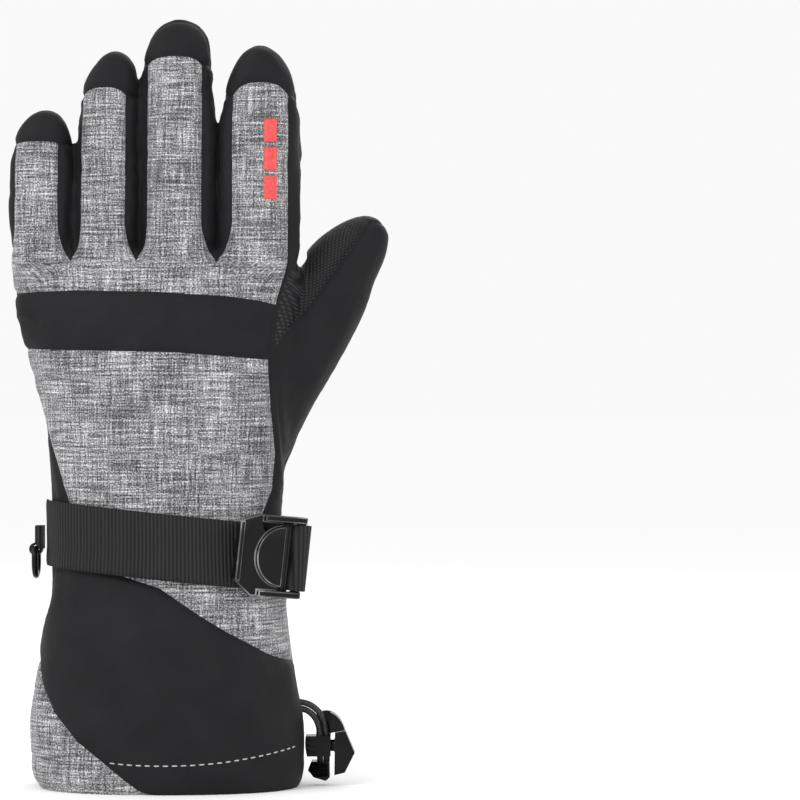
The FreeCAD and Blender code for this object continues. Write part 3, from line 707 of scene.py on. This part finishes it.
def weave_noise(tree, across, along, detail=2.0, rough=0.5):
    """Noise with that many features per millimetre round and along the cloth."""
    space = weave_space(tree, (across, along, 1))
    n = node(tree, "ShaderNodeTexNoise")
    n.inputs["Scale"].default_value = 1.0
    n.inputs["Detail"].default_value = detail
    n.inputs["Roughness"].default_value = rough
    tree.links.new(space, n.inputs["Vector"])
    return n.outputs["Fac"]


def maths(tree, how, a, b=None):
    n = node(tree, "ShaderNodeMath", operation=how)
    for i, value in enumerate((a, b)):
        if value is None:
            continue
        if isinstance(value, (int, float)):
            n.inputs[i].default_value = value
        else:
            tree.links.new(value, n.inputs[i])
    return n.outputs[0]


def ramp(tree, fac, stops):
    n = node(tree, "ShaderNodeValToRGB")
    points = n.color_ramp.elements
    while len(points) < len(stops):
        points.new(0.5)
    for point, (at, colour) in zip(points, stops):
        point.position = at
        point.color = (*colour, 1) if len(colour) == 3 else (colour[0],) * 3 + (1,)
    tree.links.new(fac, n.inputs[0])
    return n.outputs[0]


def bumped(tree, shader, height, strength, distance):
    n = node(tree, "ShaderNodeBump")
    n.inputs["Strength"].default_value = strength
    n.inputs["Distance"].default_value = distance
    tree.links.new(height, n.inputs["Height"])
    tree.links.new(n.outputs[0], shader.inputs["Normal"])


def heather():
    mat, tree, shader = material("heather_fabric")
    warp = weave_noise(tree, 1.3, 0.07, 2.0, 0.6)
    weft = weave_noise(tree, 0.06, 1.3, 2.0, 0.6)
    speck = weave_noise(tree, 1.6, 1.6, 1.0, 0.5)
    cloud = weave_noise(tree, 0.05, 0.05)
    total = maths(tree, "ADD", maths(tree, "MULTIPLY", warp, 0.8), maths(tree, "MULTIPLY", weft, 1.05))
    for part, share in ((speck, 1.15), (cloud, 0.35)):
        total = maths(tree, "ADD", total, maths(tree, "MULTIPLY", part, share))
    total = maths(tree, "MULTIPLY", total, 0.2985)
    dress(tree, shader, total, [(0.40, (0.012, 0.012, 0.014)), (0.48, (0.125, 0.123, 0.130)),
                                (0.55, (0.36, 0.355, 0.365)), (0.62, (0.74, 0.73, 0.74))],
          0.86, Sheen_Weight=0.18, Sheen_Roughness=0.5)
    bumped(tree, shader, total, 0.45, 0.0005)
    return mat


def softshell():
    mat, tree, shader = material("black_softshell")
    fine = weave_noise(tree, 1.6, 1.6, 2.0, 0.6)
    cloud = weave_noise(tree, 0.06, 0.06)
    dress(tree, shader, cloud, [(0.3, (0.0085, 0.0085, 0.0098)), (0.7, (0.0125, 0.0125, 0.0140))],
          0.68, Specular_IOR_Level=0.16, Sheen_Weight=0.015, Sheen_Roughness=0.45)
    bumped(tree, shader, fine, 0.18, 0.0003)
    return mat


def bands(tree, space):
    wave = node(tree, "ShaderNodeTexWave", wave_type="BANDS", bands_direction="X", wave_profile="SIN")
    wave.inputs["Scale"].default_value = 1.0
    tree.links.new(space, wave.inputs["Vector"])
    return wave


def grip():
    mat, tree, shader = material("grip_fabric")
    waves = [bands(tree, weave_space(tree, (0.314 / pitch,) * 3, turn)).outputs["Fac"]
             for turn, pitch in ((0.62, 1.35), (-0.55, 1.08))]
    dots = maths(tree, "MULTIPLY", *waves)
    dress(tree, shader, dots, [(0.08, (0.005, 0.005, 0.006)), (0.62, (0.034, 0.034, 0.037))],
          0.55, Specular_IOR_Level=0.22)
    bumped(tree, shader, dots, 0.75, 0.0005)
    return mat


def webbing():
    mat, tree, shader = material("webbing")
    wave = bands(tree, weave_space(tree, (0.314 / RIB_PITCH, 0.314 / RIB_PITCH, 1)))
    wave.inputs["Distortion"].default_value = 0.25
    wave.inputs["Detail"].default_value = 1.0
    ribs = maths(tree, "MULTIPLY", wave.outputs["Fac"], 0.8)
    threads = maths(tree, "MULTIPLY", weave_noise(tree, 0.9, 2.6, 1.0), 0.35)
    height = maths(tree, "ADD", ribs, threads)
    dress(tree, shader, height, [(0.15, (0.003, 0.003, 0.0035)), (0.85, (0.022, 0.022, 0.024))],
          0.62, Specular_IOR_Level=0.25)
    bumped(tree, shader, height, 0.8, 0.0006)
    return mat


def braid():
    mat, tree, shader = material("elastic_cord")
    coordinates = node(tree, "ShaderNodeTexCoord")
    mapping = node(tree, "ShaderNodeMapping")
    mapping.inputs["Scale"].default_value = (1000, 1000, 1000)
    tree.links.new(coordinates.outputs["Object"], mapping.inputs["Vector"])
    cells = node(tree, "ShaderNodeTexVoronoi")
    cells.inputs["Scale"].default_value = 1.25
    tree.links.new(mapping.outputs[0], cells.inputs["Vector"])
    dress(tree, shader, cells.outputs["Distance"], [(0.1, (0.055, 0.055, 0.058)), (0.7, (0.010, 0.010, 0.011))], 0.6)
    bumped(tree, shader, cells.outputs["Distance"], -0.7, 0.0005)
    return mat


def object_noise(tree, scale):
    coordinates = node(tree, "ShaderNodeTexCoord")
    n = node(tree, "ShaderNodeTexNoise")
    n.inputs["Scale"].default_value = scale
    tree.links.new(coordinates.outputs["Object"], n.inputs["Vector"])
    return n.outputs["Fac"]


def plastic():
    mat, tree, shader = material("black_plastic")
    fine = object_noise(tree, 900.0)
    dress(tree, shader, object_noise(tree, 60.0), [(0.3, (0.004, 0.004, 0.0045)), (0.7, (0.007, 0.007, 0.0075))],
          0.2, Specular_IOR_Level=0.14)
    tree.links.new(ramp(tree, fine, [(0.3, (0.16,)), (0.7, (0.24,))]), shader.inputs["Roughness"])
    bumped(tree, shader, fine, 0.06, 0.0002)
    return mat


def painted_highlight_edge_material():
    """The rounded edges of a moulding, with a painted highlight: paler than its faces, in patches."""
    mat, tree, shader = material("black_plastic_painted_highlight_edge")
    # painted highlight: the noise ramp paints the bevels dark in places and up to 0.24 grey in others, standing in for
    # glints
    dress(tree, shader, object_noise(tree, 90.0), [(0.40, (0.016, 0.016, 0.018)), (0.56, (0.060, 0.060, 0.064)),
                                                   (0.70, (0.24, 0.24, 0.25))],
          0.22, Specular_IOR_Level=0.9)
    return mat


def fleece():
    mat, tree, shader = material("lining")
    fuzz = object_noise(tree, 700.0)
    dress(tree, shader, fuzz, [(0.3, (0.020, 0.020, 0.022)), (0.7, (0.055, 0.055, 0.058))], 0.95, Sheen_Weight=0.3)
    bumped(tree, shader, fuzz, 0.6, 0.001)
    return mat


def thread():
    mat, tree, shader = material("white_thread")
    dress(tree, shader, object_noise(tree, 1500.0), [(0.3, (0.34, 0.34, 0.34)), (0.7, (0.58, 0.58, 0.57))], 0.6)
    return mat


def accent():
    mat, tree, shader = material("accent_print")
    dress(tree, shader, object_noise(tree, 800.0), [(0.3, (0.62, 0.05, 0.05)), (0.7, (0.78, 0.09, 0.08))], 0.55)
    bumped(tree, shader, object_noise(tree, 1500.0), 0.3, 0.0003)
    return mat


def steel():
    mat, tree, shader = material("spring_steel")
    dress(tree, shader, object_noise(tree, 500.0), [(0.3, (0.5, 0.5, 0.5)), (0.7, (0.7, 0.7, 0.7))], 0.3, Metallic=1.0)
    return mat


def backdrop():
    mat, tree, shader = material("backdrop")
    shader.inputs["Base Color"].default_value = (0.88, 0.88, 0.88, 1)
    shader.inputs["Roughness"].default_value = 1.0
    shader.inputs["Specular IOR Level"].default_value = 0.0
    shader.inputs["Emission Color"].default_value = (1, 1, 1, 1)
    shader.inputs["Emission Strength"].default_value = 0.12
    return mat


# ------------------------------------------------------------------ strap and hardware
def hand_surface(angle, z, offset):
    """Point outside the hand form at a turn round it and a height, and the outward direction."""
    rows = np.array(HAND)
    left, right, depth, y = [np.interp(z, rows[:, 0], rows[:, k]) for k in (1, 2, 3, 4)]
    c, s = math.cos(angle), math.sin(angle)
    a, b = (right - left) / 2, depth
    power = 2 / OVAL_POWER
    x = a * math.copysign(abs(c) ** power, c)
    w = b * math.copysign(abs(s) ** power, s)
    out = np.array([math.copysign(abs(x / a) ** (OVAL_POWER - 1) / a, x),
                    math.copysign(abs(w / b) ** (OVAL_POWER - 1) / b, w), 0.0])
    out /= max(np.linalg.norm(out), 1e-9)
    return np.array([(left + right) / 2 + x, y + w, z]) + out * offset, out


def strap_piece():
    """Ribbed webbing over the back of the wrist. The rows run across it, the columns along it."""
    start, end = math.radians(183), math.radians(329)
    columns, across = 172, 15
    slope = math.tan(math.radians(6))
    verts, weave = [], []
    for side, offset in ((1, 2.2), (-1, 0.5)):
        length, before = 0.0, None
        for i in range(columns + 1):
            angle = start + (end - start) * i / columns
            middle, _ = hand_surface(angle, 93.0, offset)
            length += 0 if before is None else np.linalg.norm(middle - before)
            before = middle
            centre_z = 93.6 - (middle[0] + 20) * slope
            half = 12.5 if middle[0] < 16 else 11.9
            for k in range(across + 1):
                share = 2 * k / across - 1
                z = centre_z + half * share
                edge = 0.45 * abs(share) ** 8
                point, out = hand_surface(angle, z, offset - side * edge)
                if side > 0:
                    rib = 0.13 * math.cos(2 * math.pi * length / RIB_PITCH)
                    point = point + out * (rib + 0.5 * bump(length, 62, 5.5))
                verts.append(point * MM)
                weave.append((length, 12.5 * share, 5.0))
    row = across + 1
    layer = (columns + 1) * row
    faces = []
    for base, flip in ((0, False), (layer, True)):
        for i in range(columns):
            for k in range(across):
                a = base + i * row + k
                quad = (a, a + row, a + row + 1, a + 1)
                faces.append(quad[::-1] if flip else quad)
    for i in range(columns):
        for k, flip in ((0, True), (across, False)):
            a = i * row + k
            quad = (a, a + row, a + row + layer, a + layer)
            faces.append(quad[::-1] if flip else quad)
    for i in (0, columns):
        for k in range(across):
            a = i * row + k
            quad = (a, a + 1, a + 1 + layer, a + layer)
            faces.append(quad if i else quad[::-1])
    obj = mesh_object("wrist_strap_webbing", verts, faces)
    store_weave(obj.data, weave)
    return obj


def buckle_fold():
    """Webbing folded round the buckle's cross bar, seen between its flange and its bar."""
    turn = Matrix.Rotation(math.radians(6), 3, "Y") @ Matrix.Rotation(math.radians(210), 3, "Z")
    profile = [(4.2, -0.9), (4.0, 0.0), (4.2, 0.9), (5.2, 1.35), (6.6, 1.5), (8.2, 1.4), (9.4, 0.9), (9.6, 0.0),
               (8.8, -0.9), (6.6, -1.2), (5.2, -1.1)]
    verts, weave = [], []
    levels = 9
    for k in range(levels):
        z = -13.0 + 26.0 * k / (levels - 1)
        for x, y in profile:
            point = turn @ Vector((x, y, z))
            verts.append((Vector(BUCKLE_BAR) + point) * MM)
            weave.append((x + abs(y), z, 5.0))
    obj = mesh_object("buckle_webbing_fold", verts, tube_faces(levels, len(profile)))
    store_weave(obj.data, weave)
    return obj


def copy_of(node_name, name, used, bevel=0.0):
    """A bevelled copy of a CAD node, to stand for it; the last of its materials goes on the bevels."""
    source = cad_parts[node_name]
    obj = bpy.data.objects.new(name, source.data.copy())
    bpy.context.collection.objects.link(obj)
    obj.data.materials.clear()
    for mat in used:
        obj.data.materials.append(mat)
    weld = obj.modifiers.new("weld", "WELD")
    weld.merge_threshold = 0.00001
    flat = obj.modifiers.new("flat", "DECIMATE")
    flat.decimate_type = "DISSOLVE"
    flat.angle_limit = math.radians(1.0)
    if bevel:
        edge = obj.modifiers.new("bevel", "BEVEL")
        edge.width = bevel
        edge.segments = 3
        edge.limit_method = "ANGLE"
        edge.angle_limit = math.radians(30)
        edge.use_clamp_overlap = node_name != "buckle_frame"
        edge.material = len(used) - 1
    baked(obj)
    obj.data.polygons.foreach_set("use_smooth", [True] * len(obj.data.polygons))
    obj.data.set_sharp_from_angle(angle=math.radians(38))
    return obj


def nurbs_cord(name, points, diameter):
    """Round cord in the plane y = 0, through (x, z) points in millimetres."""
    curve = bpy.data.curves.new(name, "CURVE")
    curve.dimensions = "3D"
    curve.bevel_depth = diameter / 2
    curve.bevel_resolution = 4
    curve.resolution_u = 10
    curve.use_fill_caps = True
    spline = curve.splines.new("NURBS")
    spline.points.add(len(points) - 1)
    for point, (x, z) in zip(spline.points, points):
        point.co = (x * MM, 0, z * MM, 1)
    spline.order_u = 3
    spline.use_endpoint_u = True
    obj = bpy.data.objects.new(name, curve)
    bpy.context.collection.objects.link(obj)
    return obj


def stitches(name, path, length, gap, radius, lift):
    """Short rounded stitches laid along a list of (point, outward) pairs, in millimetres."""
    points = np.array([q[0] + q[1] * lift for q in path])
    step = np.linalg.norm(np.diff(points, axis=0), axis=1)
    at = np.concatenate([[0], np.cumsum(step)])
    verts, faces = [], []
    place = 0.0
    while place + length < at[-1]:
        ends = [np.array([np.interp(place + length * s, at, points[:, k]) for k in range(3)]) for s in (0, 1)]
        k = min(np.searchsorted(at, place), len(path) - 1)
        out = path[k][1]
        ahead = (ends[1] - ends[0]) / max(np.linalg.norm(ends[1] - ends[0]), 1e-9)
        side = np.cross(ahead, out)
        base = len(verts)
        for share, size in ((0.0, 0.35), (0.18, 0.9), (0.5, 1.0), (0.82, 0.9), (1.0, 0.35)):
            centre = ends[0] + (ends[1] - ends[0]) * share - out * (radius * (1.0 - size) + 0.15)
            for i in range(6):
                turn = 2 * math.pi * i / 6
                verts.append((centre + radius * size * (side * math.cos(turn) + out * math.sin(turn) * 0.8)) * MM)
        faces += [tuple(base + v for v in f) for f in tube_faces(5, 6)]
        place += length + gap
    return mesh_object(name, verts, faces)


# ------------------------------------------------------------------ put together
def paint(obj, mat):
    obj.data.materials.clear()
    obj.data.materials.append(mat)
    return obj


def surface_path(tree, start, end, count, height, outward):
    """Points on the skin from x = start to x = end, at the heights that the function height gives."""
    path = []
    for i in range(count + 1):
        x = start + (end - start) * i / count
        z = height(x)
        hit = tree.ray_cast(Vector((x, 90 * outward, z)) * MM, Vector((0, -outward, 0)))
        if hit[0] is not None:
            path.append((np.array(hit[0]) / MM, np.array(hit[1])))
    return path


def build():
    # the edge material paints a highlight on the bevels of the mouldings
    mats = {"heather": heather(), "shell": softshell(), "grip": grip(), "webbing": webbing(), "braid": braid(),
            "plastic": plastic(), "fleece": fleece(), "thread": thread(), "accent": accent(), "steel": steel(),
            "edge": painted_highlight_edge_material()}
    pieces = skin_pieces(*panels())
    heather_panels = [f + "_back" for f in FINGERS] + ["yoke", "back_panel", "cuff_palm", "cuff_upper", "cuff_lower"]
    grip_panels = [f + "_insert" for f in FINGERS] + ["palm", "thumb_grip"]
    stands_for = {
        "yoke": ["finger_yoke_panel", "hand_insulation"], "knuckle_band": ["knuckle_band"],
        "back_panel": ["back_panel"], "index_side": ["index_side_panel"], "little_side": ["little_side_panel"],
        "palm": ["palm_panel"], "cuff_palm": ["cuff_palm_panel", "wrist_elastic"],
        "cuff_overlay": ["cuff_overlay_panel", "hem_drawcord"], "cuff_upper": ["cuff_upper_panel"],
        "cuff_lower": ["cuff_lower_panel"], "thumb_grip": ["thumb_grip_panel"],
        "thumb_back": ["thumb_back_panel", "thumb_insulation", "thumb_lining"]}
    for finger in FINGERS:
        stands_for[finger + "_back"] = [finger + "_back_panel"]
        stands_for[finger + "_cap"] = [finger + "_tip_cap"]
        stands_for[finger + "_insert"] = [finger + "_grip_insert"]
        stands_for[finger + "_sides"] = [finger + "_side_strips", finger + "_insulation", finger + "_lining"]
    for name, obj in pieces.items():
        kind = "heather" if name in heather_panels else "grip" if name in grip_panels else "shell"
        paint(obj, mats[kind])
        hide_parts(*stands_for[name])
    trees = {name: BVHTree.FromPolygons([v.co for v in obj.data.vertices], [p.vertices for p in obj.data.polygons])
             for name, obj in pieces.items()}
    for name, obj in pieces.items():
        finger = name.split("_")[0]
        if finger in FINGERS:
            bend_with_finger(obj)
        elif finger == "thumb":
            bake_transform(obj)
        else:
            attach(obj, "hand")
    lining(mats)
    mouldings = hardware(mats)
    cords(mats)
    trim(mats, trees)
    for node_name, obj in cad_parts.items():
        assert obj.hide_render, node_name + " has no piece that stands for it"


def bend_with_finger(obj):
    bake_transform(obj)


def cords(mats):
    """The two drawcord strands, from inside the side seam to the cord end."""
    for name, points in STRAND_POINTS.items():
        obj = nurbs_cord(name + "_braid", points, 2.4 * MM)
        paint(obj, mats["braid"])
        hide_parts(name)
        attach(obj, "hand")


def lining(mats):
    """Fleece inside the cuff and hand, from the folded hem up, with a closed top."""
    rows = [(1.0, 3.2), (0.5, 4.6), (2.0, 6.2), (20.0, 6.6), (60.0, 6.8), (100.0, 6.8), (150.0, 7.0), (186.0, 7.2)]
    table = np.array(HAND)
    rings = []
    for z, inset in rows:
        row = [z] + [np.interp(z, table[:, 0], table[:, k]) for k in range(1, 5)]
        rings.append(hand_ring(row, 72, inset))
    verts = np.concatenate(rings) * MM
    faces = [f[::-1] for f in tube_faces(len(rings), 72, False)]
    faces.append(tuple((len(rings) - 1) * 72 + i for i in range(72))[::-1])
    obj = mesh_object("glove_lining", verts, faces)
    paint(obj, mats["fleece"])
    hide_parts("hand_lining", "hem_fold")
    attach(obj, "hand")


def hardware(mats):
    strap = paint(strap_piece(), mats["webbing"])
    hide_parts("wrist_strap")
    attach(strap, "hand")
    mouldings = {}
    for node_name, body, width in (("buckle_frame", "buckle", 0.00045), ("clip_ring", "clip_ring", 0.0),
                                   ("cord_lock_button", "cord_lock_button", 0.0003),
                                   ("cord_lock_body", "cord_lock", 0.0003), ("cord_end", "hand", 0.0)):
        # the bevels take the edge material, a painted highlight
        obj = copy_of(node_name, node_name + "_moulding", [mats["plastic"], mats["edge"]], width)
        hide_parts(node_name)
        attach(obj, body)
        mouldings[node_name] = obj
    spring = copy_of("cord_lock_spring", "cord_lock_spring_coil", [mats["steel"]])
    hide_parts("cord_lock_spring")
    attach(spring, "cord_lock")
    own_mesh(spring)
    fold = paint(buckle_fold(), mats["webbing"])
    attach(fold, "buckle")
    for node_name in ("buckle_loop", "clip_ring_loop"):
        obj = copy_of(node_name, node_name + "_webbing", [mats["webbing"]], 0.0002)
        p = fetched(obj.data.vertices, "co", 3) / MM
        store_weave(obj.data, np.column_stack([p @ np.array((0.7, 0.7, 0)), p[:, 2], np.full(len(p), 5.0)]))
        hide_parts(node_name)
        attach(obj, "hand")
    return mouldings


def zigzag_height(x):
    return 105.0 + 2.4 * (4 * abs((x / 9.8) % 1 - 0.5) - 1)


def trim(mats, trees):
    """Stitches on the hem and the palm side of the wrist, and the mark on the index finger."""
    hem = surface_path(trees["cuff_overlay"], -32, 37.5, 90, lambda x: 11.2 + 0.0022 * (x + 12) ** 2, -1)
    pieces = [stitches("hem_stitches", hem, 2.3, 1.1, 0.28, 0.2)]
    for name, start, end in (("palm", -53, 3.2), ("thumb_back", 4.2, 31.5)):
        zigzag = surface_path(trees[name], start, end, 160, zigzag_height, 1)
        pieces.append(stitches(name + "_wrist_stitches", zigzag, 1.9, 0.5, 0.17, 0.12))
    for obj in pieces:
        paint(obj, mats["thread"])
        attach(obj, "hand")
    mark = accent_mark(trees["index_back"])
    paint(mark, mats["accent"])
    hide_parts("index_accent_mark")
    bend_with_finger(mark)


def accent_mark(tree):
    """Three plain bars, laid on the back of the index finger."""
    verts, faces = [], []
    for low in (225.0, 236.0, 247.0):
        base = len(verts)
        columns, rows = 6, 10
        for lift in (0.32, -0.3):
            for i in range(columns + 1):
                for k in range(rows + 1):
                    x, z = 25.0 + 4.8 * i / columns, low + 9.0 * k / rows
                    hit = tree.ray_cast(Vector((x, -90, z)) * MM, Vector((0, 1, 0)))
                    assert hit[0] is not None, (x, z)
                    point = np.array(hit[0]) + np.array(hit[1]) * lift * MM
                    verts.append(point)
        row, layer = rows + 1, (columns + 1) * (rows + 1)
        for i in range(columns):
            for k in range(rows):
                a = base + i * row + k
                faces.append((a, a + row, a + row + 1, a + 1))
                faces.append((a + layer + 1, a + layer + row + 1, a + layer + row, a + layer))
        for i in range(columns):
            for k, flip in ((0, True), (rows, False)):
                a = base + i * row + k
                quad = (a, a + row, a + row + layer, a + layer)
                faces.append(quad if flip else quad[::-1])
        for k in range(rows):
            for i in (0, columns):
                a = base + i * row + k
                faces.append((a, a + 1, a + 1 + layer, a + layer))
    return mesh_object("index_mark", verts, faces)


def studio():
    """Pale floor and backdrop, with broad soft lights."""
    floor = mesh_object("floor", [(-30, -30, 0), (30, -30, 0), (30, 30, 0), (-30, 30, 0)], [(0, 1, 2, 3)], False)
    paint(floor, backdrop())
    world = bpy.data.worlds.new("world")
    bpy.context.scene.world = world
    world.use_nodes = True
    world.node_tree.nodes["Background"].inputs[0].default_value = (1, 1, 1, 1)
    world.node_tree.nodes["Background"].inputs[1].default_value = 0.95
    for name, place, size, power in (("key", (-0.7, -0.9, 1.0), 0.7, 8.0), ("fill", (1.0, -0.8, 0.5), 0.8, 1.5),
                                     ("rim", (0.3, 1.0, 0.9), 0.8, 4.0)):
        data = bpy.data.lights.new(name, "AREA")
        data.size = size
        data.energy = power
        light = bpy.data.objects.new(name, data)
        light.location = place
        light.rotation_euler = (Vector((0, 0, 0.15)) - Vector(place)).to_track_quat("-Z", "Y").to_euler()
        bpy.context.collection.objects.link(light)
    bpy.context.scene.view_settings.view_transform = "Standard"


camera()
build()
studio()
